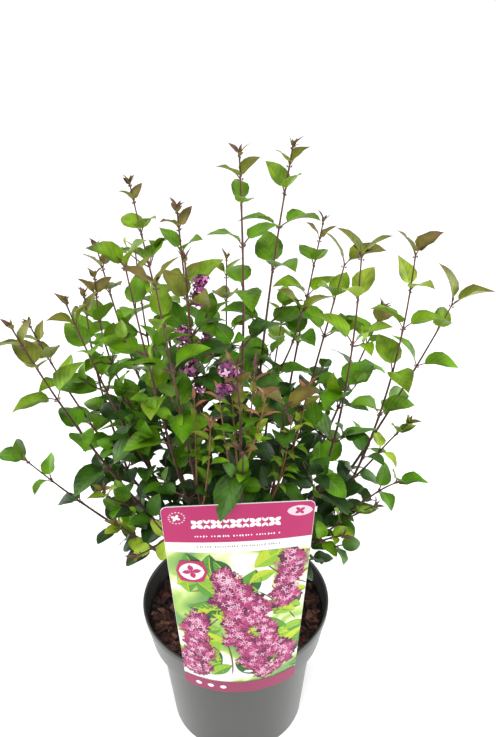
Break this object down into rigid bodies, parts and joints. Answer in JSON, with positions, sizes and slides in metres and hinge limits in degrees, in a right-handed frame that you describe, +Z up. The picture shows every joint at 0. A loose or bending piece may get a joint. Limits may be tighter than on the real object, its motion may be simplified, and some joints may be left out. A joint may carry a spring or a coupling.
{
  "type": "potted lilac shrub",
  "caption": "Young lilac bush with upright leafy shoots and small blossom trusses, in a round nursery pot of bark-covered soil with an upright picture card.",
  "frame": {"origin": "centre of the pot's flat underside", "axes": "+Z up; -Y towards the front, where the picture card stands; +X to the right as seen from the front"},
  "size_m": [0.4579, 0.2929, 0.6382],
  "materials": {
    "pot": "satin mid grey",
    "soil": "coarse dark bark chips",
    "card": "printed plastic card",
    "bark": "dull brown bark",
    "foliage": "soft green leaves"
  },
  "bodies": {
    "root": {"pot": "pot", "soil": "soil", "card": "card", "trunk": "bark", "bough_low_left": "bark", "bough_far_left": "bark", "bough_left": "bark", "bough_left_upright": "bark", "bough_back_left": "bark", "bough_back_left_tall": "bark", "bough_front_left": "bark", "bough_front_left_inner": "bark", "bough_middle_left": "bark", "bough_middle": "bark", "bough_middle_right": "bark", "bough_back_right": "bark", "bough_right_upright": "bark", "bough_front_right": "bark", "bough_right": "bark", "bough_far_right": "bark", "bough_far_back_right": "bark", "bough_low_right": "bark", "bough_front": "bark", "bough_front_right_inner": "bark", "bough_back": "bark", "bough_low_back_left": "bark", "bough_low_back_right": "bark", "foliage_low_left": "foliage", "foliage_far_left": "foliage", "foliage_left": "foliage", "foliage_left_upright": "foliage", "foliage_back_left": "foliage", "foliage_back_left_tall": "foliage", "foliage_front_left": "foliage", "foliage_front_left_inner": "foliage", "foliage_middle_left": "foliage", "foliage_middle": "foliage", "foliage_middle_right": "foliage", "foliage_back_right": "foliage", "foliage_right_upright": "foliage", "foliage_front_right": "foliage", "foliage_right": "foliage", "foliage_far_right": "foliage", "foliage_far_back_right": "foliage", "foliage_low_right": "foliage", "foliage_front": "foliage", "foliage_front_right_inner": "foliage", "foliage_back": "foliage", "foliage_low_back_left": "foliage", "foliage_low_back_right": "foliage"}
  },
  "joints": []
}
